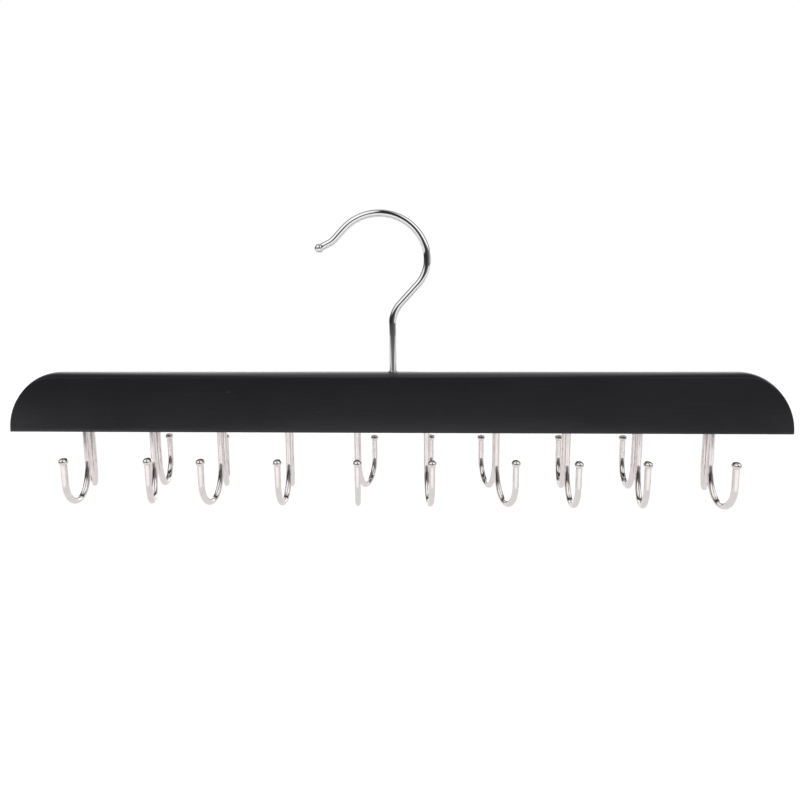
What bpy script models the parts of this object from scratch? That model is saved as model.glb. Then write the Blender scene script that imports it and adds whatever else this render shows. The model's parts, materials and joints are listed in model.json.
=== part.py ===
"""Belt hanger: a lacquered wooden bar with two rows of J-shaped wire hooks under it.

The bar turns on the neck of a bent wire hook that hangs on a closet rod. Lengths are in
metres, +Z is up, +X runs along the bar and -Y is its front. The origin is where the rod
bears: the top of the inside of the hook's loop.
"""
import math

import bmesh
import bpy

# Running and seating clearance between touching pieces, and how far a cut overshoots a face
CLEARANCE = 0.0003
CUT_OVERRUN = 0.001

# Wooden bar: a board with round ends. An end's arc starts square to the underside and runs
# into the top through a tighter shoulder. An arc under the bar's height needs no shoulder and
# leaves the end upright below it.
BAR_LENGTH = 0.427
BAR_HEIGHT = 0.0323
BAR_THICKNESS = 0.014
BAR_END_RADIUS = 0.0348
BAR_SHOULDER_RADIUS = 0.026
BAR_CROWN = 0.0021            # how far the top and the ends fall from the middle to either face
BAR_EDGE_SOFTENING = 0.0006

# J-hooks: each is one wire, screwed up into the bar's underside
HOOK_WIRE = 0.0032            # diameter
HOOK_ROW_SPACING = 0.0054     # front row to back row
HOOK_END_MARGIN = 0.0417      # end of the bar to the first and the last hook of a row
HOOK_DROP = 0.038             # underside of the bar to the lowest point of the wire
HOOK_GAP = 0.017              # clear width between shank and tip
HOOK_SHANK_CURVE = 0.019      # height over which the shank curves round to the lowest point
HOOK_TIP_CURVE = 0.0135       # height over which the wire curves up from there to the tip
HOOK_TIP_RISE = 0.0287        # lowest point of the wire to the top of the tip
HOOK_HEAD_DIAMETER = 0.0047   # rounded head on the tip
HOOK_HEAD_HEIGHT = 0.004
HOOK_ROOT_DIAMETER = 0.0028   # reduced end inside the bar
HOOK_ROOT_LENGTH = 0.014
HOOK_ROOT_POINT = 0.002
HOOK_ROOT_TIP_SHARE = 0.4     # blunt point's radius, as a share of the root's
HOOK_SHOULDER = 0.0003

# How far each hook is turned in its hole, in degrees, from left to right
FRONT_TURNS = (3, 20, -8, -2, 7, 7, 20, 0, -11, 3)
BACK_TURNS = (-38, -10, -19, -15, 22, 9, -15, 7, 5, 36)

# Swivel hook: neck, riser, loop and nose of one wire, with a ball on its end
SWIVEL_WIRE = 0.004           # diameter
SWIVEL_NECK_OFFSET = 0.0009   # how far the neck stands to the right of the bar's middle
SWIVEL_NECK = 0.0262          # top of the bar to the first bend
SWIVEL_NECK_BEND = 0.016      # radius of the bend away from the neck
SWIVEL_NECK_ANGLE = 42.5
SWIVEL_RISER = 0.0138         # straight length up to the loop
SWIVEL_THROAT_BEND = 0.020    # radius where the riser runs into the loop
SWIVEL_THROAT_ANGLE = 63
SWIVEL_LOOP_BORE = 0.0481     # inside diameter of the loop
SWIVEL_LOOP_ANGLE = 116.5
SWIVEL_NOSE_LEAD = 0.0067     # straight length before the nose turns out
SWIVEL_NOSE_BEND = 0.010
SWIVEL_NOSE_ANGLE = 21
SWIVEL_NOSE = 0.0059          # end of the nose's bend to the middle of the ball
SWIVEL_BALL = 0.005           # diameter

# What holds the neck in the bar: an upset end and a washer below, a ferrule above
UPSET_DIAMETER = 0.0068
UPSET_THICKNESS = 0.0018
UPSET_EDGE = 0.0004
UPSET_RECESS = 0.002          # the upset end lies this far inside the bar
WASHER_DIAMETER = 0.009
WASHER_THICKNESS = 0.0008
FERRULE_WALL = 0.0002
FERRULE_DEPTH = 0.008         # top of the bar to the ferrule's lower end
FERRULE_STAND = 0.0004        # how far it stands out of the bar
FERRULE_ROUNDING = 0.00015

# Fineness of the faceted curves
END_STEPS = 10
CROWN_STEPS = 10
HOLE_STEPS = 12
BORE_STEPS = 24
HOOK_BEND_STEP = 15           # degrees of bend between rings of the wire
SWIVEL_BEND_STEP = 7
HOOK_SIDES_RESOLUTION = 2
SWIVEL_SIDES_RESOLUTION = 4
HEAD_STEPS = 6
HEAD_CAP_ANGLE = 20           # degrees from a head's pole to its small flat end

PARTS = "belt_hanger"
CUTTERS = "cutters"


class WirePath:
    """A wire's centreline in a vertical plane, as rings of (outward, height, radius)."""

    def __init__(self, height, heading, radius):
        self.outward = 0.0
        self.height = height
        self.heading = math.radians(heading)
        self.radius = radius
        self.rings = [(self.outward, self.height, self.radius)]

    def advance(self, length, radius=None):
        """Run straight on, to the given wire radius."""
        self.outward += length * math.cos(self.heading)
        self.height += length * math.sin(self.heading)
        self.radius = self.radius if radius is None else radius
        self.rings.append((self.outward, self.height, self.radius))

    def bend_centre(self, bend_radius, side):
        """Centre of a bend that starts here; side is 1 for anticlockwise, -1 for clockwise."""
        return (self.outward - side * bend_radius * math.sin(self.heading),
                self.height + side * bend_radius * math.cos(self.heading))

    def bend(self, bend_radius, turn, step):
        """Turn by so many degrees, anticlockwise when positive, with a ring at every step."""
        side = math.copysign(1, turn)
        centre = self.bend_centre(bend_radius, side)
        start = self.heading
        steps = max(2, round(abs(turn) / step))
        for index in range(1, steps + 1):
            self.heading = start + math.radians(turn) * index / steps
            self.outward = centre[0] + side * bend_radius * math.sin(self.heading)
            self.height = centre[1] - side * bend_radius * math.cos(self.heading)
            self.rings.append((self.outward, self.height, self.radius))

    def turn_back(self, half_width, fall, rise, step):
        """Run down to a lowest point and up again beside it, in two quarter ellipses."""
        start, bottom = self.outward, self.height - fall
        steps = round(180 / step)
        for index in range(1, steps + 1):
            turned_by = math.pi * index / steps
            reach = fall if 2 * index < steps else rise
            self.outward = start + half_width * (1 - math.cos(turned_by))
            self.height = bottom + reach * (1 - math.sin(turned_by))
            self.rings.append((self.outward, self.height, self.radius))
        self.heading = math.pi / 2

    def rounded_head(self, diameter, height):
        """End the wire in an ellipsoid that swells out of it."""
        start = math.asin(self.radius * 2 / diameter)
        end = math.pi - math.radians(HEAD_CAP_ANGLE)
        base = (self.outward, self.height)
        for index in range(1, HEAD_STEPS + 1):
            polar = start + (end - start) * index / HEAD_STEPS
            along = (math.cos(start) - math.cos(polar)) * height / 2
            self.outward = base[0] + along * math.cos(self.heading)
            self.height = base[1] + along * math.sin(self.heading)
            self.radius = math.sin(polar) * diameter / 2
            self.rings.append((self.outward, self.height, self.radius))


def clear_scene():
    for leftover in list(bpy.data.objects):
        bpy.data.objects.remove(leftover, do_unlink=True)


def new_collection(name):
    collection = bpy.data.collections.new(name)
    bpy.context.scene.collection.children.link(collection)
    return collection


def finish(name, colour, roughness, metallic):
    """A plain material of one colour."""
    material = bpy.data.materials.new(name)
    material.use_nodes = True
    shader = material.node_tree.nodes["Principled BSDF"]
    shader.inputs["Base Color"].default_value = (*colour, 1.0)
    shader.inputs["Roughness"].default_value = roughness
    shader.inputs["Metallic"].default_value = metallic
    material.diffuse_color = (*colour, 1.0)
    return material


def place(name, data, collection, location, parent=None, turn=0.0):
    """An object of this mesh or curve, placed in its parent's frame."""
    piece = bpy.data.objects.new(name, data)
    piece.location = location
    piece.rotation_euler.z = turn
    piece.parent = parent
    collection.objects.link(piece)
    return piece


def mesh_of(piece, name):
    """The evaluated mesh of a curve object, its end caps welded; the object is removed."""
    depsgraph = bpy.context.evaluated_depsgraph_get()
    mesh = bpy.data.meshes.new_from_object(piece.evaluated_get(depsgraph))
    mesh.name = name
    welded = bmesh.new()
    welded.from_mesh(mesh)
    bmesh.ops.remove_doubles(welded, verts=welded.verts, dist=CLEARANCE / 100)
    bmesh.ops.recalc_face_normals(welded, faces=welded.faces)
    welded.to_mesh(mesh)
    welded.free()
    bpy.data.objects.remove(piece, do_unlink=True)
    return mesh


def wire_mesh(name, path, plane, resolution):
    """A wire along a path; plane turns (outward, height) into a point."""
    curve = bpy.data.curves.new(name, "CURVE")
    curve.dimensions = "3D"
    curve.bevel_mode = "ROUND"
    curve.bevel_depth = path.rings[0][2]
    curve.bevel_resolution = resolution
    curve.use_fill_caps = True
    spline = curve.splines.new("POLY")
    spline.points.add(len(path.rings) - 1)
    for point, (outward, height, radius) in zip(spline.points, path.rings):
        point.co = (*plane(outward, height), 1.0)
        point.radius = radius / curve.bevel_depth
    guide = place(name, curve, bpy.context.scene.collection, (0, 0, 0))
    mesh = mesh_of(guide, name)
    mesh.shade_smooth()
    mesh.set_sharp_from_angle(angle=math.radians(40))
    return mesh


def turned(name, profile, steps, collection, location, parent=None, closed=False):
    """A piece turned about Z from (radius, height) points that run down its outer side."""
    mesh = bpy.data.meshes.new(name)
    points = [(radius, 0.0, height) for radius, height in profile]
    edges = [(index, index + 1) for index in range(len(points) - 1)]
    if closed:
        edges.append((len(points) - 1, 0))
    mesh.from_pydata(points, edges, [])
    piece = place(name, mesh, collection, location, parent)
    screw = piece.modifiers.new("turning", "SCREW")
    screw.steps = screw.render_steps = steps
    screw.use_merge_vertices = True
    screw.merge_threshold = CLEARANCE / 100
    screw.use_smooth_shade = False
    return piece


def mark_cutter(piece):
    piece.hide_render = True
    piece.display_type = "WIRE"


def neck_and_loop():
    """The swivel hook's wire, with heights from the top of the bar, and its loop's centre."""
    radius = SWIVEL_WIRE / 2
    path = WirePath(upset_bottom(), 90, UPSET_DIAMETER / 2 - UPSET_EDGE)
    path.advance(UPSET_EDGE, UPSET_DIAMETER / 2)
    path.advance(UPSET_THICKNESS - 2 * UPSET_EDGE)
    path.advance(UPSET_EDGE, radius)
    path.advance(SWIVEL_NECK - path.height)
    path.bend(SWIVEL_NECK_BEND, -SWIVEL_NECK_ANGLE, SWIVEL_BEND_STEP)
    path.advance(SWIVEL_RISER)
    path.bend(SWIVEL_THROAT_BEND, SWIVEL_THROAT_ANGLE, SWIVEL_BEND_STEP)
    loop_bend = SWIVEL_LOOP_BORE / 2 + radius
    loop_centre = path.bend_centre(loop_bend, 1)
    path.bend(loop_bend, SWIVEL_LOOP_ANGLE, SWIVEL_BEND_STEP)
    path.advance(SWIVEL_NOSE_LEAD)
    path.bend(SWIVEL_NOSE_BEND, -SWIVEL_NOSE_ANGLE, SWIVEL_BEND_STEP)
    ball_start = math.sqrt(SWIVEL_BALL ** 2 - SWIVEL_WIRE ** 2) / 2
    path.advance(SWIVEL_NOSE - ball_start)
    path.rounded_head(SWIVEL_BALL, SWIVEL_BALL)
    return path, loop_centre


def counterbore_depth():
    return UPSET_RECESS + UPSET_THICKNESS + WASHER_THICKNESS + 2 * CLEARANCE


def upset_bottom():
    """Height of the upset end's underside, from the top of the bar."""
    return UPSET_RECESS - BAR_HEIGHT


def hook_path():
    """A J-hook's wire, with heights from the underside of the bar."""
    wire = HOOK_WIRE / 2
    root = HOOK_ROOT_DIAMETER / 2
    curve_start = HOOK_DROP - HOOK_SHANK_CURVE - wire
    path = WirePath(HOOK_ROOT_LENGTH, -90, root * HOOK_ROOT_TIP_SHARE)
    path.advance(HOOK_ROOT_POINT, root)
    path.advance(path.height + CLEARANCE)
    path.advance(HOOK_SHOULDER, wire)
    path.advance(path.height + curve_start)
    path.turn_back((HOOK_GAP + HOOK_WIRE) / 2, HOOK_SHANK_CURVE, HOOK_TIP_CURVE, HOOK_BEND_STEP)
    head_start = math.sqrt(1 - (HOOK_WIRE / HOOK_HEAD_DIAMETER) ** 2)
    path.advance(HOOK_TIP_RISE - wire - HOOK_TIP_CURVE - (1 + head_start) * HOOK_HEAD_HEIGHT / 2)
    path.rounded_head(HOOK_HEAD_DIAMETER, HOOK_HEAD_HEIGHT)
    return path


def arc(centre, radius, start, end):
    """Points from one angle to the other round a centre, both ends included."""
    return [(centre[0] + radius * math.cos(start + (end - start) * index / END_STEPS),
             centre[1] + radius * math.sin(start + (end - start) * index / END_STEPS))
            for index in range(END_STEPS + 1)]


def bar_outline(inset):
    """The bar's outline at an inset, from its lower left corner, clockwise, as (along, height)."""
    upright = max(BAR_HEIGHT - BAR_END_RADIUS, 0.0)
    centre = (BAR_LENGTH / 2 - BAR_END_RADIUS, upright)
    if upright > 0:
        side = [(centre[0] + BAR_END_RADIUS - inset, 0.0)]
        side += arc(centre, BAR_END_RADIUS - inset, 0.0, math.pi / 2)
    else:
        reach = BAR_END_RADIUS - BAR_SHOULDER_RADIUS
        rise = BAR_HEIGHT - BAR_SHOULDER_RADIUS
        joint = math.asin(rise / reach)
        shoulder = (centre[0] + reach * math.cos(joint), rise)
        side = arc(centre, BAR_END_RADIUS - inset, 0.0, joint)[:-1]
        side += arc(shoulder, BAR_SHOULDER_RADIUS - inset, joint, math.pi / 2)
    return [(-along, height) for along, height in side] + side[::-1]


def board_mesh():
    """The board before it is bored: a loft of outlines, inset more towards its flat faces."""
    crown_radius = ((BAR_THICKNESS / 2) ** 2 + BAR_CROWN ** 2) / (2 * BAR_CROWN)
    board = bmesh.new()
    sections = []
    for step in range(CROWN_STEPS + 1):
        depth = BAR_THICKNESS * (step / CROWN_STEPS - 0.5)
        outline = bar_outline(crown_radius - math.sqrt(crown_radius ** 2 - depth ** 2))
        sections.append([board.verts.new((along, depth, height)) for along, height in outline])
    board.faces.new(sections[0])
    board.faces.new(sections[-1])
    for front, back in zip(sections, sections[1:]):
        for index in range(len(front)):
            board.faces.new((front[index - 1], front[index], back[index], back[index - 1]))
    bmesh.ops.recalc_face_normals(board, faces=board.faces)
    mesh = bpy.data.meshes.new("bar")
    board.to_mesh(mesh)
    board.free()
    return mesh


def make_bar(collection, pivot, cutters):
    """The board, its edges softened, then bored for the hooks and the neck."""
    bar = place("bar", board_mesh(), collection, (-SWIVEL_NECK_OFFSET, 0, -BAR_HEIGHT), pivot)
    softening = bar.modifiers.new("softened edges", "BEVEL")
    softening.width = BAR_EDGE_SOFTENING
    softening.segments = 2
    softening.limit_method = "ANGLE"
    softening.angle_limit = math.radians(15)
    boring = bar.modifiers.new("holes", "BOOLEAN")
    boring.operation = "DIFFERENCE"
    boring.operand_type = "COLLECTION"
    boring.collection = cutters
    boring.solver = "EXACT"
    return bar


def make_hooks(collection, cutters, pivot, steel):
    """Both rows of J-hooks, and the hole that each one's root is screwed into."""
    mesh = wire_mesh("j_hook", hook_path(), lambda out, up: (0.0, out, up), HOOK_SIDES_RESOLUTION)
    mesh.materials.append(steel)
    hole_radius = HOOK_ROOT_DIAMETER / 2 + CLEARANCE
    hole = [(0.0, HOOK_ROOT_LENGTH + CLEARANCE + HOOK_ROOT_POINT), (hole_radius, HOOK_ROOT_LENGTH),
            (hole_radius, -CUT_OVERRUN), (0.0, -CUT_OVERRUN)]
    first = HOOK_END_MARGIN - BAR_LENGTH / 2
    pitch = -2 * first / (len(FRONT_TURNS) - 1)
    for row, side, turns in (("front_hook", -1, FRONT_TURNS), ("back_hook", 1, BACK_TURNS)):
        for number, degrees in enumerate(turns):
            along = first + number * pitch - SWIVEL_NECK_OFFSET
            seat = (along, side * HOOK_ROW_SPACING / 2, -BAR_HEIGHT)
            facing = -math.radians(degrees) if side > 0 else math.pi + math.radians(degrees)
            name = f"{row}_{number + 1:02d}"
            place(name, mesh, collection, seat, pivot, facing)
            cutter = turned(f"{name}_hole", hole, HOLE_STEPS, cutters, seat, pivot)
            mark_cutter(cutter)


def ferrule_bore():
    return SWIVEL_WIRE / 2 + CLEARANCE


def make_neck_bore(cutters, pivot):
    """The stepped hole through the bar: counterbore, neck hole and ferrule seat."""
    roof = counterbore_depth()
    ferrule_floor = BAR_HEIGHT - FERRULE_DEPTH - CLEARANCE
    counterbore = WASHER_DIAMETER / 2 + CLEARANCE
    neck = SWIVEL_WIRE / 2 + CLEARANCE
    ferrule = ferrule_bore() + FERRULE_WALL + CLEARANCE
    top = BAR_HEIGHT + CUT_OVERRUN
    profile = [(0.0, top), (ferrule, top), (ferrule, ferrule_floor), (neck, ferrule_floor),
               (neck, roof), (counterbore, roof), (counterbore, -CUT_OVERRUN), (0.0, -CUT_OVERRUN)]
    mark_cutter(turned("neck_bore", profile, BORE_STEPS, cutters, (0, 0, -BAR_HEIGHT), pivot))


def make_ferrule(collection, pivot):
    """The thin sleeve round the neck, which stands on the step in its hole."""
    bore = ferrule_bore()
    tube = bore + FERRULE_WALL
    profile = [(tube - FERRULE_ROUNDING, FERRULE_STAND), (tube, FERRULE_STAND - FERRULE_ROUNDING),
               (tube, -FERRULE_DEPTH), (bore, -FERRULE_DEPTH), (bore, FERRULE_STAND)]
    return turned("swivel_ferrule", profile, BORE_STEPS, collection, (0, 0, 0), pivot, closed=True)


def make_washer(collection, neck_x, bar_top):
    """The flat washer between the upset end and the roof of the counterbore."""
    bore = SWIVEL_WIRE / 2 + CLEARANCE
    edge = WASHER_DIAMETER / 2
    top = counterbore_depth() - CLEARANCE
    bottom = top - WASHER_THICKNESS
    profile = [(edge, top), (edge, bottom), (bore, bottom), (bore, top)]
    return turned("swivel_washer", profile, BORE_STEPS, collection,
                  (neck_x, 0, bar_top - BAR_HEIGHT), closed=True)


def main():
    clear_scene()
    parts = new_collection(PARTS)
    cutters = new_collection(CUTTERS)
    nickel = finish("bright nickel plate", (0.78, 0.76, 0.75), 0.16, 1.0)
    chrome = finish("polished chrome plate", (0.80, 0.80, 0.82), 0.07, 1.0)
    zinc = finish("zinc plate", (0.60, 0.61, 0.62), 0.35, 1.0)
    lacquer = finish("black satin lacquer on wood", (0.022, 0.022, 0.024), 0.42, 0.0)

    path, loop_centre = neck_and_loop()
    neck_x = -loop_centre[0]
    bar_top = -(loop_centre[1] + SWIVEL_LOOP_BORE / 2)
    pivot = place("bar_pivot", None, parts, (neck_x, 0, bar_top))

    make_hooks(parts, cutters, pivot, nickel)
    make_neck_bore(cutters, pivot)
    make_bar(parts, pivot, cutters).data.materials.append(lacquer)
    make_ferrule(parts, pivot).data.materials.append(nickel)

    wire = wire_mesh("swivel_hook", path, lambda out, up: (out, 0.0, up), SWIVEL_SIDES_RESOLUTION)
    wire.materials.append(chrome)
    place("swivel_hook", wire, parts, (neck_x, 0, bar_top))
    make_washer(parts, neck_x, bar_top).data.materials.append(zinc)


main()
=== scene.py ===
"""Looks of the belt hanger: a black satin bar, bright wire J-hooks and a chrome swivel hook."""
import json
import math

import bmesh
import bpy
from mathutils import Matrix, Vector


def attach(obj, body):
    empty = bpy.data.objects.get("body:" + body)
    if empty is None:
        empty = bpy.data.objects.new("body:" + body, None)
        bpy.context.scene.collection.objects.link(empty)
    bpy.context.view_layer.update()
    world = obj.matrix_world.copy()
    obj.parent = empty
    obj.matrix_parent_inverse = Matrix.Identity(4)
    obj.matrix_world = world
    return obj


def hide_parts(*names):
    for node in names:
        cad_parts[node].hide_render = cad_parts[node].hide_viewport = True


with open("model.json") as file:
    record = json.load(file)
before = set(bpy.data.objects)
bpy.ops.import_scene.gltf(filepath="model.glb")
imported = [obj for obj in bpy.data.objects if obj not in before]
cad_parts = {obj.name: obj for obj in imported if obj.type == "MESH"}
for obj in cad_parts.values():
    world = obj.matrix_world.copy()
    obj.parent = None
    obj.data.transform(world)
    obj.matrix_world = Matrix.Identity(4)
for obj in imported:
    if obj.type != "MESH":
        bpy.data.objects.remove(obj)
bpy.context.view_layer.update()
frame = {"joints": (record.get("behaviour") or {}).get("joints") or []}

# Sizes are in metres and named as in the part's source, which has the same values. Those
# that it doesn't have say so. Heights count from the top of the bar unless a line says not.
CLEARANCE = 0.0003

BAR_LENGTH = 0.427
BAR_HEIGHT = 0.0323
BAR_THICKNESS = 0.014
BAR_END_RADIUS = 0.0348
BAR_SHOULDER_RADIUS = 0.026
BAR_CROWN = 0.0021              # how far the top and the ends fall from the middle to a face
BAR_EDGE_SOFTENING = 0.00012    # finer here than in the source, as in the photograph

HOOK_WIRE = 0.0032
HOOK_ROW_SPACING = 0.0054
HOOK_END_MARGIN = 0.0417
HOOK_DROP = 0.038
HOOK_GAP = 0.017
HOOK_SHANK_CURVE = 0.019
HOOK_TIP_CURVE = 0.0135
HOOK_TIP_RISE = 0.0287
HOOK_HEAD_DIAMETER = 0.0047
HOOK_HEAD_HEIGHT = 0.004
HOOK_ROOT_DIAMETER = 0.0028
HOOK_ROOT_LENGTH = 0.014
HOOK_ROOT_POINT = 0.002
HOOK_ROOT_TIP_SHARE = 0.4
HOOK_SHOULDER = 0.0003
HOOK_SHOULDER_ROUNDING = 0.0001     # not in the source: length of the shoulder's rounded edge
HOOK_SHOULDER_INSET = 0.00008       # not in the source: how far that edge draws in
FRONT_TURNS = (3, 20, -8, -2, 7, 7, 20, 0, -11, 3)
BACK_TURNS = (-38, -10, -19, -15, 22, 9, -15, 7, 5, 36)

SWIVEL_WIRE = 0.004
SWIVEL_NECK_OFFSET = 0.0009
SWIVEL_NECK = 0.0262
SWIVEL_NECK_BEND = 0.016
SWIVEL_NECK_ANGLE = 42.5
SWIVEL_RISER = 0.0138
SWIVEL_THROAT_BEND = 0.020
SWIVEL_THROAT_ANGLE = 63
SWIVEL_LOOP_BORE = 0.0481
SWIVEL_LOOP_ANGLE = 116.5
SWIVEL_NOSE_LEAD = 0.0067
SWIVEL_NOSE_BEND = 0.010
SWIVEL_NOSE_ANGLE = 21
SWIVEL_NOSE = 0.0059
SWIVEL_BALL = 0.005

UPSET_DIAMETER = 0.0068
UPSET_THICKNESS = 0.0018
UPSET_EDGE = 0.0004
UPSET_RECESS = 0.002
WASHER_DIAMETER = 0.009
WASHER_THICKNESS = 0.0008
WASHER_EDGE = 0.0001            # not in the source
FERRULE_WALL = 0.0002
FERRULE_DEPTH = 0.008
FERRULE_STAND = 0.0004
FERRULE_ROUNDING = 0.00015
FERRULE_MOUTH_EDGE = 0.00005    # not in the source: chamfer inside the mouth
CUT_OVERRUN = 0.001             # how far the cutter of the neck's hole stands out at both ends

# Fineness of the curves, which are finer here than in the source
END_STEPS = 28
CROWN_STEPS = 20
SOFT_EDGE_STEPS = 4
TURNED_STEPS = 64
ROUNDING_STEPS = 5
HOOK_SIDES = 28
HOOK_SHANK_STEPS = 24
HOOK_BEND_STEPS = 48
HOOK_ROOT_STEPS = 6
HOOK_TIP_STEPS = 8
HOOK_HEAD_STEPS = 16
SWIVEL_SIDES = 40
SWIVEL_BEND_STEP = 2            # degrees of bend between rings of the wire
SWIVEL_NECK_STEPS = 30
SWIVEL_RISER_STEPS = 8
SWIVEL_LEAD_STEPS = 4
SWIVEL_NOSE_STEPS = 3
SWIVEL_BALL_STEPS = 20
HEAD_CAP_ANGLE = 4              # degrees from a head's pole to its small flat end

# Edges that turn by more than this, in degrees, are shaded sharp or softened
WIRE_SHARP_ANGLE = 40
TURNED_SHARP_ANGLE = 35
BAR_SHARP_ANGLE = 30
BAR_SOFTENED_ANGLE = 12

pivot = Vector(frame["joints"][0]["pos_m"])      # on the neck's axis, level with the bar's top
middle = pivot - Vector((SWIVEL_NECK_OFFSET, 0, 0))
neck_bore = SWIVEL_WIRE / 2 + CLEARANCE
ferrule_radius = neck_bore + FERRULE_WALL
washer_top = UPSET_RECESS + UPSET_THICKNESS + WASHER_THICKNESS + CLEARANCE - BAR_HEIGHT


# ---------------------------------------------------------------- meshes
class WirePath:
    """A wire's centreline in a plane, as rings of (outward, height, radius, heading)."""

    def __init__(self, height, heading, radius):
        self.out, self.up, self.radius = 0.0, height, radius
        self.heading = math.radians(heading)
        self.rings = []
        self.mark()

    def mark(self):
        self.rings.append((self.out, self.up, self.radius, self.heading))

    def advance(self, length, radius=None, steps=1):
        """Run straight on, growing evenly to the new radius."""
        start = self.radius
        end = start if radius is None else radius
        for index in range(1, steps + 1):
            self.out += length / steps * math.cos(self.heading)
            self.up += length / steps * math.sin(self.heading)
            self.radius = start + (end - start) * index / steps
            self.mark()

    def bend(self, bend_radius, turn, step):
        """Turn by so many degrees on an arc, to the left where they are positive."""
        side = math.copysign(1, turn)
        centre_out = self.out - side * bend_radius * math.sin(self.heading)
        centre_up = self.up + side * bend_radius * math.cos(self.heading)
        start = self.heading
        steps = max(2, round(abs(turn) / step))
        for index in range(1, steps + 1):
            self.heading = start + math.radians(turn) * index / steps
            self.out = centre_out + side * bend_radius * math.sin(self.heading)
            self.up = centre_up - side * bend_radius * math.cos(self.heading)
            self.mark()

    def turn_back(self, half_width, fall, rise, steps):
        """Run down to a lowest point and up again beside it, in two quarter ellipses."""
        out, bottom = self.out, self.up - fall
        for index in range(1, steps + 1):
            turn = math.pi * index / steps
            reach = fall if 2 * index < steps else rise
            self.out = out + half_width * (1 - math.cos(turn))
            self.up = bottom + reach * (1 - math.sin(turn))
            self.heading = math.atan2(-reach * math.cos(turn), half_width * math.sin(turn))
            self.mark()

    def rounded_head(self, diameter, height, steps):
        """End in a round head, from where it is as thick as the wire to near its pole."""
        start = math.asin(self.radius * 2 / diameter)
        end = math.radians(180 - HEAD_CAP_ANGLE)
        out, up = self.out, self.up
        for index in range(1, steps + 1):
            polar = start + (end - start) * index / steps
            along = (math.cos(start) - math.cos(polar)) * height / 2
            self.out = out + along * math.cos(self.heading)
            self.up = up + along * math.sin(self.heading)
            self.radius = math.sin(polar) * diameter / 2
            self.mark()


def finished(mesh, sharp_angle, merge=0.0):
    """Turn the faces outwards, merge points closer than merge, and shade smooth."""
    clean = bmesh.new()
    clean.from_mesh(mesh)
    if merge:
        bmesh.ops.remove_doubles(clean, verts=clean.verts, dist=merge)
    bmesh.ops.recalc_face_normals(clean, faces=clean.faces)
    clean.to_mesh(mesh)
    clean.free()
    mesh.shade_smooth()
    mesh.set_sharp_from_angle(angle=math.radians(sharp_angle))
    return mesh


def swept(name, rings, across, sides):
    """A round wire through rings in the plane that is square to across.

    Its attribute "wire" holds where a point is round the wire (x, y) and along it (z)."""
    across = Vector(across)
    outward = across.cross(Vector((0, 0, 1)))
    verts, wire, faces = [], [], []
    length = 0.0
    last = None
    for out, up, radius, heading in rings:
        centre = outward * out + Vector((0, 0, up))
        if last is not None:
            length += (centre - last).length
        last = centre
        normal = outward * -math.sin(heading) + Vector((0, 0, math.cos(heading)))
        for index in range(sides):
            angle = 2 * math.pi * index / sides
            verts.append(centre + (normal * math.cos(angle) + across * math.sin(angle)) * radius)
            wire.append((math.cos(angle), math.sin(angle), length))
    for ring in range(len(rings) - 1):
        for index in range(sides):
            a = ring * sides + index
            b = ring * sides + (index + 1) % sides
            faces.append((a, b, b + sides, a + sides))
    faces.append(tuple(range(sides))[::-1])
    faces.append(tuple(range((len(rings) - 1) * sides, len(rings) * sides)))
    mesh = bpy.data.meshes.new(name)
    mesh.from_pydata(verts, [], faces)
    spread = mesh.attributes.new("wire", "FLOAT_VECTOR", "POINT")
    for index, value in enumerate(wire):
        spread.data[index].vector = value
    return finished(mesh, WIRE_SHARP_ANGLE)


def turned(name, profile, closed=True):
    """A mesh turned about Z from (radius, height) points: a ring, or a solid where not closed."""
    points = len(profile)
    verts, faces = [], []
    for index in range(TURNED_STEPS):
        angle = 2 * math.pi * index / TURNED_STEPS
        verts += [(r * math.cos(angle), r * math.sin(angle), h) for r, h in profile]
    for index in range(TURNED_STEPS):
        a, b = index * points, (index + 1) % TURNED_STEPS * points
        for k in range(points if closed else points - 1):
            n = (k + 1) % points
            faces.append((a + k, b + k, b + n, a + n))
    mesh = bpy.data.meshes.new(name)
    mesh.from_pydata(verts, [], faces)
    return finished(mesh, TURNED_SHARP_ANGLE, 0.0 if closed else 1e-7)


def add(name, mesh, material, location, turn=0.0):
    piece = bpy.data.objects.new(name, mesh)
    piece.location = location
    piece.rotation_euler.z = turn
    bpy.context.scene.collection.objects.link(piece)
    mesh.materials.clear()
    mesh.materials.append(material)
    return piece


def cut_out(piece, location, profile):
    """Cut a turned hole through a piece after its modifiers, and keep the result as its mesh."""
    cutter = bpy.data.objects.new("cutter", turned("cutter", profile, closed=False))
    cutter.location = location
    cutter.rotation_euler.z = math.pi / TURNED_STEPS    # no corner on the edges along the bar
    bpy.context.scene.collection.objects.link(cutter)
    cut = piece.modifiers.new("cut", "BOOLEAN")
    cut.operation, cut.solver, cut.object = "DIFFERENCE", "EXACT", cutter
    bpy.context.view_layer.update()
    evaluated = piece.evaluated_get(bpy.context.evaluated_depsgraph_get())
    mesh, whole = bpy.data.meshes.new_from_object(evaluated), piece.data
    name = whole.name
    piece.modifiers.clear()
    piece.data = mesh
    bpy.data.meshes.remove(whole)
    mesh.name = name
    mesh.shade_smooth()
    mesh.set_sharp_from_angle(angle=math.radians(BAR_SHARP_ANGLE))
    bpy.data.objects.remove(cutter)


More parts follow.
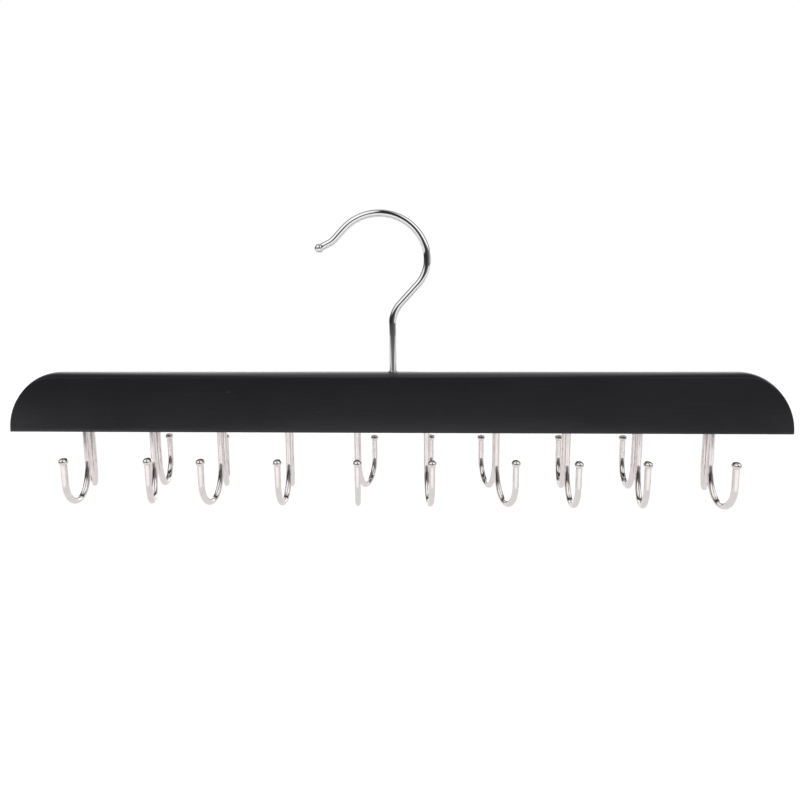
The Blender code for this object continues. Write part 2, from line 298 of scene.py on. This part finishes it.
def j_hook_rings():
    """A J-hook's wire, with heights from the underside of the bar."""
    wire, root = HOOK_WIRE / 2, HOOK_ROOT_DIAMETER / 2
    path = WirePath(HOOK_ROOT_LENGTH, -90, root * HOOK_ROOT_TIP_SHARE)
    path.advance(HOOK_ROOT_POINT, root)
    path.advance(path.up + CLEARANCE, steps=HOOK_ROOT_STEPS)
    path.advance(HOOK_SHOULDER - HOOK_SHOULDER_ROUNDING, wire - HOOK_SHOULDER_INSET)
    path.advance(HOOK_SHOULDER_ROUNDING, wire)
    path.advance(HOOK_SHOULDER_ROUNDING)
    path.advance(path.up + HOOK_DROP - HOOK_SHANK_CURVE - wire, steps=HOOK_SHANK_STEPS)
    path.turn_back((HOOK_GAP + HOOK_WIRE) / 2, HOOK_SHANK_CURVE, HOOK_TIP_CURVE, HOOK_BEND_STEPS)
    head_start = math.sqrt(1 - (HOOK_WIRE / HOOK_HEAD_DIAMETER) ** 2)
    head_room = (1 + head_start) * HOOK_HEAD_HEIGHT / 2
    path.advance(HOOK_TIP_RISE - wire - HOOK_TIP_CURVE - head_room, steps=HOOK_TIP_STEPS)
    path.rounded_head(HOOK_HEAD_DIAMETER, HOOK_HEAD_HEIGHT, HOOK_HEAD_STEPS)
    return path.rings


def swivel_rings():
    """The swivel hook's wire, from the upset end inside the bar to the ball."""
    wire, upset = SWIVEL_WIRE / 2, UPSET_DIAMETER / 2
    path = WirePath(UPSET_RECESS - BAR_HEIGHT, 90, upset - UPSET_EDGE)
    path.advance(UPSET_EDGE, upset)
    path.advance(UPSET_THICKNESS - 2 * UPSET_EDGE)
    path.advance(UPSET_EDGE, wire)
    path.advance(SWIVEL_NECK - path.up, steps=SWIVEL_NECK_STEPS)
    path.bend(SWIVEL_NECK_BEND, -SWIVEL_NECK_ANGLE, SWIVEL_BEND_STEP)
    path.advance(SWIVEL_RISER, steps=SWIVEL_RISER_STEPS)
    path.bend(SWIVEL_THROAT_BEND, SWIVEL_THROAT_ANGLE, SWIVEL_BEND_STEP)
    path.bend(SWIVEL_LOOP_BORE / 2 + wire, SWIVEL_LOOP_ANGLE, SWIVEL_BEND_STEP)
    path.advance(SWIVEL_NOSE_LEAD, steps=SWIVEL_LEAD_STEPS)
    path.bend(SWIVEL_NOSE_BEND, -SWIVEL_NOSE_ANGLE, SWIVEL_BEND_STEP)
    ball_start = math.sqrt(SWIVEL_BALL ** 2 - SWIVEL_WIRE ** 2) / 2
    path.advance(SWIVEL_NOSE - ball_start, steps=SWIVEL_NOSE_STEPS)
    path.rounded_head(SWIVEL_BALL, SWIVEL_BALL, SWIVEL_BALL_STEPS)
    return path.rings


def bar_outline(inset):
    """The bar's outline at an inset, as (along, height above the underside)."""
    centre = BAR_LENGTH / 2 - BAR_END_RADIUS
    reach, rise = BAR_END_RADIUS - BAR_SHOULDER_RADIUS, BAR_HEIGHT - BAR_SHOULDER_RADIUS
    joint = math.asin(rise / reach)
    side = []
    for x, z, radius, start, end in (
            (centre, 0, BAR_END_RADIUS, 0, joint),
            (centre + reach * math.cos(joint), rise, BAR_SHOULDER_RADIUS, joint, math.pi / 2)):
        for index in range(1 if side else 0, END_STEPS + 1):
            angle = start + (end - start) * index / END_STEPS
            side.append((x + (radius - inset) * math.cos(angle),
                         z + (radius - inset) * math.sin(angle)))
    return [(-along, height) for along, height in side] + side[::-1]


def bar_mesh():
    """The board, its outline drawn in towards both faces by the crown's arc."""
    crown_radius = ((BAR_THICKNESS / 2) ** 2 + BAR_CROWN ** 2) / (2 * BAR_CROWN)
    board = bmesh.new()
    rows = []
    for step in range(CROWN_STEPS + 1):
        depth = BAR_THICKNESS * (step / CROWN_STEPS - 0.5)
        inset = crown_radius - math.sqrt(crown_radius ** 2 - depth ** 2)
        rows.append([board.verts.new((x, depth, z - BAR_HEIGHT)) for x, z in bar_outline(inset)])
    board.faces.new(rows[0])
    board.faces.new(rows[-1])
    for front, back in zip(rows, rows[1:]):
        for i in range(len(front)):
            board.faces.new((front[i - 1], front[i], back[i], back[i - 1]))
    mesh = bpy.data.meshes.new("bar_body")
    board.to_mesh(mesh)
    board.free()
    return finished(mesh, BAR_SHARP_ANGLE)


# ---------------------------------------------------------------- materials
class Nodes:
    """Adds nodes to a material's or the world's tree; a socket given as a value is linked."""

    def __init__(self, owner):
        owner.use_nodes = True
        self.tree = owner.node_tree

    def add(self, kind, inputs=None, **settings):
        made = self.tree.nodes.new(kind)
        for key, value in settings.items():
            setattr(made, key, value)
        for slot, value in (inputs or {}).items():
            self.put(made, slot, value)
        return made

    def put(self, made, slot, value):
        if isinstance(value, bpy.types.NodeSocket):
            self.tree.links.new(value, made.inputs[slot])
        else:
            made.inputs[slot].default_value = value

    def calc(self, operation, a, b=0.0):
        return self.add("ShaderNodeMath", {0: a, 1: b}, operation=operation).outputs[0]

    def product(self, *factors):
        result = factors[0]
        for factor in factors[1:]:
            result = self.calc("MULTIPLY", result, factor)
        return result

    def total(self, *terms):
        result = terms[0]
        for term in terms[1:]:
            result = self.calc("ADD", result, term)
        return result

    def ramp(self, value, low, high, start=0.0, end=1.0):
        """start below low, end above high, smooth between."""
        return self.add("ShaderNodeMapRange", {"Value": value, "From Min": low, "From Max": high,
                                               "To Min": start, "To Max": end},
                        interpolation_type="SMOOTHSTEP").outputs["Result"]

    def place(self):
        return self.add("ShaderNodeTexCoord").outputs["Object"]

    def stretched(self, vector, *scale):
        return self.add("ShaderNodeVectorMath", {0: vector, 1: scale},
                        operation="MULTIPLY").outputs[0]

    def noise(self, vector, scale, detail, roughness=0.5):
        return self.add("ShaderNodeTexNoise", {"Vector": vector, "Scale": scale, "Detail": detail,
                                               "Roughness": roughness}).outputs["Fac"]

    def specks(self, vector, scale, core, rim):
        """1 in small round specks, 0 between them."""
        cells = self.add("ShaderNodeTexVoronoi", {"Vector": vector, "Scale": scale})
        return self.ramp(cells.outputs["Distance"], core, rim, 1.0, 0.0)

    def colours(self, value, *stops):
        made = self.add("ShaderNodeValToRGB", {"Fac": value})
        ramp = made.color_ramp
        while len(ramp.elements) < len(stops):
            ramp.elements.new(0.5)
        for element, (position, colour) in zip(ramp.elements, stops):
            element.position = position
            element.color = (*colour, 1)
        return made.outputs["Color"]

    def bump(self, height, distance, strength, normal=None):
        inputs = {"Height": height, "Distance": distance, "Strength": strength}
        if normal is not None:
            inputs["Normal"] = normal
        return self.add("ShaderNodeBump", inputs).outputs[0]


def new_material(name):
    material = bpy.data.materials.new(name)
    nodes = Nodes(material)
    return material, nodes, nodes.tree.nodes["Principled BSDF"]


def lacquer():
    """Satin black over fine straight grain, with orange peel, dust nibs and rubbed spots."""
    material, nodes, shader = new_material("black_satin_lacquer")
    place = nodes.place()
    grain = nodes.noise(nodes.stretched(place, 14, 420, 420), scale=3.0, detail=5.0, roughness=0.62)
    pores = nodes.ramp(nodes.noise(nodes.stretched(place, 60, 900, 900), scale=2.2, detail=2.0),
                       0.62, 0.74)
    peel = nodes.noise(place, scale=620.0, detail=1.0)
    haze = nodes.noise(place, scale=22.0, detail=3.0, roughness=0.6)
    nibs = nodes.specks(place, scale=190.0, core=0.03, rim=0.07)
    rubbed = nodes.ramp(nodes.noise(nodes.stretched(place, 45, 120, 120), scale=2.0, detail=4.0,
                                    roughness=0.7), 0.66, 0.80)
    tone = nodes.total(nodes.product(grain, 0.6), nodes.product(haze, 0.4),
                       nodes.product(rubbed, 0.45))
    nodes.put(shader, "Base Color", nodes.colours(tone, (0.30, (0.0147, 0.0147, 0.0168)),
                                                  (0.62, (0.0193, 0.0193, 0.0219)),
                                                  (1.0, (0.0400, 0.0400, 0.0425))))
    nodes.put(shader, "Roughness", nodes.total(nodes.ramp(haze, 0.3, 0.7, 0.13, 0.17),
                                               nodes.product(rubbed, 0.12),
                                               nodes.product(pores, 0.04)))
    nodes.put(shader, "IOR", 1.36)
    relief = nodes.bump(peel, distance=0.00003, strength=0.35)
    relief = nodes.bump(grain, distance=0.00004, strength=0.30, normal=relief)
    relief = nodes.bump(nodes.calc("SUBTRACT", nibs, pores), distance=0.00003, strength=0.25,
                        normal=relief)
    nodes.put(shader, "Normal", relief)
    return material


def plated(name, light, dark, smooth, dull, depth):
    """Plated wire: faint draw lines along it, blotches in the plating and a few fine pits."""
    material, nodes, shader = new_material(name)
    place = nodes.place()
    along = nodes.add("ShaderNodeAttribute", attribute_name="wire").outputs["Vector"]
    lines = nodes.noise(nodes.stretched(along, 1, 1, 60), scale=9.0, detail=3.0, roughness=0.6)
    blotches = nodes.noise(place, scale=260.0, detail=3.0, roughness=0.6)
    pits = nodes.specks(place, scale=900.0, core=0.05, rim=0.14)
    wear = nodes.total(nodes.product(lines, 0.5), nodes.product(blotches, 0.5))
    nodes.put(shader, "Base Color", nodes.colours(nodes.total(wear, nodes.product(pits, 0.12)),
                                                  (0.36, light), (0.68, dark)))
    nodes.put(shader, "Metallic", 1.0)
    nodes.put(shader, "Roughness", nodes.ramp(wear, 0.35, 0.7, smooth, dull))
    relief = nodes.bump(lines, depth, strength=0.5)
    relief = nodes.bump(nodes.calc("SUBTRACT", blotches, pits), depth, strength=0.4, normal=relief)
    nodes.put(shader, "Normal", relief)
    return material


def zinc_plate():
    """Dull zinc over a turned blank: rings round the middle and a mottled bloom."""
    material, nodes, shader = new_material("zinc_plate_dull")
    place = nodes.place()
    rings = nodes.add("ShaderNodeTexWave",
                      {"Vector": place, "Scale": 900.0, "Distortion": 1.5, "Detail": 2.0},
                      wave_type="RINGS", rings_direction="Z").outputs["Fac"]
    bloom = nodes.noise(place, scale=800.0, detail=4.0, roughness=0.65)
    nodes.put(shader, "Base Color", nodes.colours(bloom, (0.3, (0.60, 0.61, 0.63)),
                                                  (0.7, (0.42, 0.43, 0.45))))
    nodes.put(shader, "Metallic", 1.0)
    nodes.put(shader, "Roughness", nodes.ramp(bloom, 0.3, 0.7, 0.28, 0.46))
    nodes.put(shader, "Normal", nodes.bump(rings, distance=0.00002, strength=0.4))
    return material


# ---------------------------------------------------------------- the object
def make_bar(material):
    """The wooden bar, with softened edges and the stepped hole for the neck."""
    bar = add("bar_body", bar_mesh(), material, middle)
    soft = bar.modifiers.new("soft edges", "BEVEL")
    soft.width = BAR_EDGE_SOFTENING
    soft.segments = SOFT_EDGE_STEPS
    soft.limit_method = "ANGLE"
    soft.angle_limit = math.radians(BAR_SOFTENED_ANGLE)
    seat, seat_floor = ferrule_radius + CLEARANCE, -FERRULE_DEPTH - CLEARANCE
    counterbore, roof = WASHER_DIAMETER / 2 + CLEARANCE, washer_top + CLEARANCE
    bottom = -BAR_HEIGHT - CUT_OVERRUN
    cut_out(bar, pivot, [
        (0, CUT_OVERRUN), (seat, CUT_OVERRUN), (seat, seat_floor), (neck_bore, seat_floor),
        (neck_bore, roof), (counterbore, roof), (counterbore, bottom), (0, bottom)])
    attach(bar, "bar")
    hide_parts("bar")


def make_hooks(material):
    """Both rows of J-hooks, each turned as it stands in the photograph."""
    first = HOOK_END_MARGIN - BAR_LENGTH / 2
    pitch = -2 * first / (len(FRONT_TURNS) - 1)
    for row, side, turns in (("front_hook", -1, FRONT_TURNS), ("back_hook", 1, BACK_TURNS)):
        for number, degrees in enumerate(turns):
            node = f"{row}_{number + 1:02d}"
            name = f"{node}_wire"
            seat = Vector((middle.x + first + number * pitch, side * HOOK_ROW_SPACING / 2,
                           pivot.z - BAR_HEIGHT))
            facing = -math.radians(degrees) if side > 0 else math.pi + math.radians(degrees)
            mesh = swept(name, j_hook_rings(), (-1, 0, 0), HOOK_SIDES)
            hook = add(name, mesh, material, seat, facing)
            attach(hook, "bar")
            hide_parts(node)


def make_swivel(material):
    """The hook that hangs on the closet rod, with its neck and upset end inside the bar."""
    mesh = swept("swivel_wire", swivel_rings(), (0, 1, 0), SWIVEL_SIDES)
    swivel = add("swivel_wire", mesh, material, pivot)
    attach(swivel, "swivel_hook")
    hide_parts("swivel_hook")


def make_ferrule(material):
    """The thin sleeve round the neck, its rim rounded outside."""
    turns = [math.pi / 2 * index / ROUNDING_STEPS for index in range(ROUNDING_STEPS + 1)]
    rounding = [(ferrule_radius - FERRULE_ROUNDING * (1 - math.sin(turn)),
                 FERRULE_STAND - FERRULE_ROUNDING * (1 - math.cos(turn))) for turn in turns]
    ferrule = add("ferrule_sleeve", turned("ferrule_sleeve", [
        (neck_bore, FERRULE_STAND - FERRULE_MOUTH_EDGE), *rounding,
        (ferrule_radius, -FERRULE_DEPTH), (neck_bore, -FERRULE_DEPTH)]), material, pivot)
    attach(ferrule, "bar")
    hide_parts("swivel_ferrule")


def make_washer(material):
    """The flat washer between the upset end and the roof of the counterbore."""
    rim, foot = WASHER_DIAMETER / 2, washer_top - WASHER_THICKNESS
    washer = add("washer_disc", turned("washer_disc", [
        (neck_bore, washer_top), (rim - WASHER_EDGE, washer_top), (rim, washer_top - WASHER_EDGE),
        (rim, foot + WASHER_EDGE), (rim - WASHER_EDGE, foot), (neck_bore, foot)]), material, pivot)
    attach(washer, "swivel_hook")
    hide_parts("swivel_washer")


lacquer_black = lacquer()
nickel = plated("bright_nickel_wire", light=(0.68, 0.637, 0.635), dark=(0.61, 0.563, 0.56),
                smooth=0.06, dull=0.10, depth=0.00002)
chrome = plated("polished_chrome_wire", light=(0.66, 0.66, 0.67), dark=(0.61, 0.61, 0.62),
                smooth=0.03, dull=0.06, depth=0.000004)
zinc = zinc_plate()

make_bar(lacquer_black)
make_hooks(nickel)
make_swivel(chrome)
make_ferrule(nickel)
make_washer(zinc)

# ---------------------------------------------------------------- stage, light and camera
FLOOR_HEIGHT = -0.36
FLOOR_SIDE = 3.0                # from the middle to the right and left edges
FLOOR_FRONT, FLOOR_BACK = -0.45, 4.0
FLOOR_GLOW = 0.35

# The studio round the part, in degrees. Azimuth 0 is towards the camera and positive to the
# right; a side is an azimuth without its sign. Each pair is where an edge begins and ends.
TABLE_EDGE = (-9, -5)           # elevation of the far edge of the white table below the part
TABLE_BEHIND = (90, 140)        # sides between which that edge sinks
TABLE_SINK = -5
OPERATOR_SIDES = (42, 62)       # whoever stands at the camera hides the table's edge there
OPERATOR_FOOT = (-16.5, -14)
FLAG_SIDES = (80, 105)          # dark flags on the table, beside and behind the part
FLAG_ENDS = (135, 155)          # a little lighter straight behind it
FLAG_NEAR_EDGE, FLAG_FAR_EDGE = (-50, -25), (-16, -10)
FLAG_STRENGTH, FLAG_END_STRENGTH = 0.95, 0.75
BOX_TOP = (56, 72)              # where both soft boxes fade out overhead
BOX_TOP_SIDES = (30, 60)        # less so at the sides
BOX_TOP_LIGHT, BOX_TOP_SIDE_LIGHT = 0.22, 0.65
RIGHT_BOX_INNER, RIGHT_BOX_OUTER, RIGHT_BOX_FOOT = (18, 29), (80, 97), (11, 22)
LEFT_BOX_OUTER, LEFT_BOX_INNER, LEFT_BOX_FOOT = (-98, -80), (-12, -3), (9, 20)
LEFT_BOX_RISE, LEFT_BOX_OUTER_LIGHT = (-80, -30), 0.75
BACKDROP_SIDES, BACKDROP_FOOT, BACKDROP_TOP = (130, 150), (1, 8), (14, 60)
BACKDROP_TOP_LIGHT = 0.4
ROOM_EDGE = (-10, -2)           # the room itself: lighter below the horizon than above
ROOM_LOW, ROOM_HIGH = 0.24, 0.045
LEVEL_FOOT, LEVEL_TOP = (-7, -1), (10, 20)      # light wall at the part's level, to the right
LEVEL_NEAR, LEVEL_NEAR_LIGHT = (0, 30), 0.15
LEVEL_FAR, LEVEL_FAR_LIGHT = (45, 102), 0.75
BEHIND_SIDES, BEHIND_FOOT, BEHIND_LIGHT = (80, 100), (5, 25), 0.08
TABLE_LIGHT, BOX_LIGHT, BACKDROP_LIGHT = 1.2, 1.5, 1.55

# The camera, fitted to the photograph
CAMERA_PLACE = (0.020438, -0.268081, -0.036472)
CAMERA_YAW, CAMERA_PITCH_DOWN, CAMERA_ROLL = -2.064, 6.676, -0.391
CAMERA_SENSOR = 36.0
CAMERA_CLIP = 0.01
PHOTO_SIDE = 800                # pixels
PHOTO_FOCAL_LENGTH = 498.546    # pixels
PHOTO_AXIS = 344.888            # row of pixels that the optical axis meets


def make_floor():
    """A pale floor, well below the part."""
    mesh = bpy.data.meshes.new("floor")
    mesh.from_pydata([(-FLOOR_SIDE, FLOOR_FRONT, 0), (FLOOR_SIDE, FLOOR_FRONT, 0),
                      (FLOOR_SIDE, FLOOR_BACK, 0), (-FLOOR_SIDE, FLOOR_BACK, 0)],
                     [], [(0, 1, 2, 3)])
    material, nodes, shader = new_material("pale_floor")
    nodes.put(shader, "Base Color", (0.9, 0.9, 0.9, 1))
    nodes.put(shader, "Roughness", 0.9)
    nodes.put(shader, "Emission Color", (1, 1, 1, 1))
    nodes.put(shader, "Emission Strength", FLOOR_GLOW)
    floor = add("floor", mesh, material, (0, 0, FLOOR_HEIGHT))


def studio_light(nodes):
    """Brightness by direction: a white table below, two soft boxes with a gap between them, a
    white backdrop behind, and a dark room at the level of the horizon."""
    calc, ramp, product, total = nodes.calc, nodes.ramp, nodes.product, nodes.total
    direction = nodes.add("ShaderNodeTexCoord").outputs["Generated"]
    x, y, z = nodes.add("ShaderNodeSeparateXYZ", {0: direction}).outputs
    azimuth = calc("DEGREES", calc("ARCTAN2", x, calc("MULTIPLY", y, -1.0)))
    elevation = calc("DEGREES", calc("ARCSINE", z))
    side = calc("ABSOLUTE", azimuth)

    table = ramp(calc("ADD", elevation, ramp(side, *TABLE_BEHIND, 0, TABLE_SINK)),
                 *TABLE_EDGE, 1, 0)
    operator = product(ramp(side, *OPERATOR_SIDES, 1, 0), ramp(elevation, *OPERATOR_FOOT))
    flags = product(ramp(side, *FLAG_SIDES), ramp(side, *FLAG_ENDS, 1, FLAG_END_STRENGTH),
                    ramp(elevation, *FLAG_NEAR_EDGE), ramp(elevation, *FLAG_FAR_EDGE, 1, 0))
    table = product(table, calc("SUBTRACT", 1.0, operator),
                    calc("SUBTRACT", 1.0, product(flags, FLAG_STRENGTH)))

    box_top = ramp(side, *BOX_TOP_SIDES, BOX_TOP_LIGHT, BOX_TOP_SIDE_LIGHT)
    fading = ramp(elevation, *BOX_TOP, 1, box_top)
    right_box = product(ramp(azimuth, *RIGHT_BOX_INNER), ramp(azimuth, *RIGHT_BOX_OUTER, 1, 0),
                        ramp(elevation, *RIGHT_BOX_FOOT), fading)
    left_box = product(ramp(azimuth, *LEFT_BOX_OUTER),
                       ramp(azimuth, *LEFT_BOX_RISE, LEFT_BOX_OUTER_LIGHT, 1),
                       ramp(azimuth, *LEFT_BOX_INNER, 1, 0),
                       ramp(elevation, *LEFT_BOX_FOOT), fading)
    backdrop = product(ramp(side, *BACKDROP_SIDES), ramp(elevation, *BACKDROP_FOOT),
                       ramp(elevation, *BACKDROP_TOP, 1, BACKDROP_TOP_LIGHT))

    level = product(ramp(elevation, *LEVEL_FOOT), ramp(elevation, *LEVEL_TOP, 1, 0))
    room = total(ramp(elevation, *ROOM_EDGE, ROOM_LOW, ROOM_HIGH),
                 product(ramp(azimuth, *LEVEL_NEAR), level, LEVEL_NEAR_LIGHT),
                 product(ramp(azimuth, *LEVEL_FAR), level, LEVEL_FAR_LIGHT),
                 product(ramp(side, *BEHIND_SIDES), ramp(elevation, *BEHIND_FOOT), BEHIND_LIGHT))
    return total(room, product(table, TABLE_LIGHT), product(right_box, BOX_LIGHT),
                 product(left_box, BOX_LIGHT), product(backdrop, BACKDROP_LIGHT))


def make_studio(scene):
    """The light of the studio on the part, and plain white where the camera looks past it."""
    scene.view_settings.view_transform = "Standard"
    scene.view_settings.look = "None"
    scene.world = bpy.data.worlds.new("studio")
    nodes = Nodes(scene.world)
    nodes.tree.nodes.clear()
    bright = studio_light(nodes)
    seen = nodes.add("ShaderNodeLightPath").outputs["Is Camera Ray"]
    shown = nodes.add("ShaderNodeMixRGB", {"Fac": seen, "Color1": bright, "Color2": (1, 1, 1, 1)})
    background = nodes.add("ShaderNodeBackground", {"Color": shown.outputs[0]})
    nodes.add("ShaderNodeOutputWorld", {"Surface": background.outputs[0]})


def make_camera(scene):
    """The photograph's camera; its shift is only what the photograph's framing needs."""
    data = bpy.data.cameras.new("camera")
    camera = bpy.data.objects.new("camera", data)
    scene.collection.objects.link(camera)
    scene.camera = camera
    data.sensor_width = CAMERA_SENSOR
    data.lens = CAMERA_SENSOR * PHOTO_FOCAL_LENGTH / PHOTO_SIDE
    data.shift_y = (PHOTO_AXIS - PHOTO_SIDE / 2) / PHOTO_SIDE
    data.clip_start = CAMERA_CLIP
    yaw, pitch_down, roll = (math.radians(angle) for angle in
                             (CAMERA_YAW, CAMERA_PITCH_DOWN, CAMERA_ROLL))
    forward = Vector((math.sin(yaw) * math.cos(pitch_down), math.cos(yaw) * math.cos(pitch_down),
                      -math.sin(pitch_down)))
    right = Vector((math.cos(yaw), -math.sin(yaw), 0))
    up = right.cross(forward)
    right, up = (right * math.cos(roll) + up * math.sin(roll),
                 up * math.cos(roll) - right * math.sin(roll))
    axes = Matrix((right, up, -forward)).transposed().to_4x4()
    camera.matrix_world = Matrix.Translation(CAMERA_PLACE) @ axes


make_floor()
make_studio(bpy.context.scene)
make_camera(bpy.context.scene)
